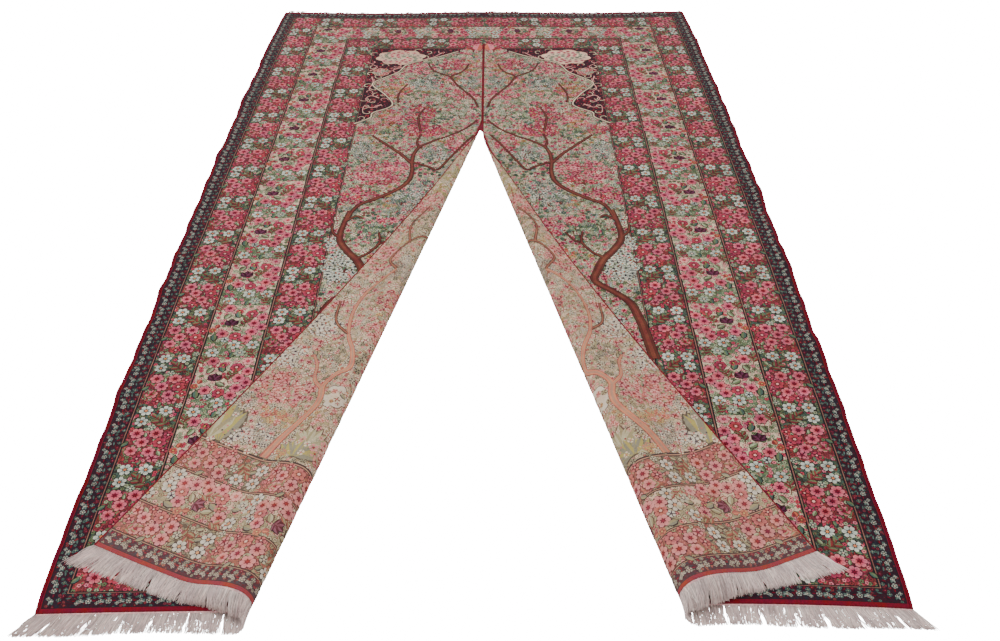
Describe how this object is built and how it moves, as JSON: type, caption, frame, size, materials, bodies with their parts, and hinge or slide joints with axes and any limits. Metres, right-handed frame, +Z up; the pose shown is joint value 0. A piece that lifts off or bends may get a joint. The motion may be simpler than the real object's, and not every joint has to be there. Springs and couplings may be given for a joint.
{
  "type": "persian pile rug",
  "caption": "Hand-knotted rectangular pile rug with fringed ends, slit up the middle from the foot, with both flaps of the slit folded outwards over the rug.",
  "frame": {"origin": "on the floor under the middle of the rug's box, fringes included", "axes": "+Y from the slit end (the foot) to the closed far end, +Z up from the floor, +X to the right seen from the foot"},
  "size_m": [1.414, 2.4199, 0.0594],
  "materials": {
    "pile": "knotted wool pile, matt",
    "binding": "overcast wool yarn, matt",
    "fringe": "loose cotton warp ends, matt"
  },
  "bodies": {
    "root": {"rug_body": "pile", "binding_side_left": "binding", "binding_side_right": "binding", "binding_slit_left": "binding", "binding_slit_right": "binding", "fringe_far": "fringe", "fringe_foot_left": "fringe", "fringe_foot_right": "fringe"}
  },
  "joints": []
}
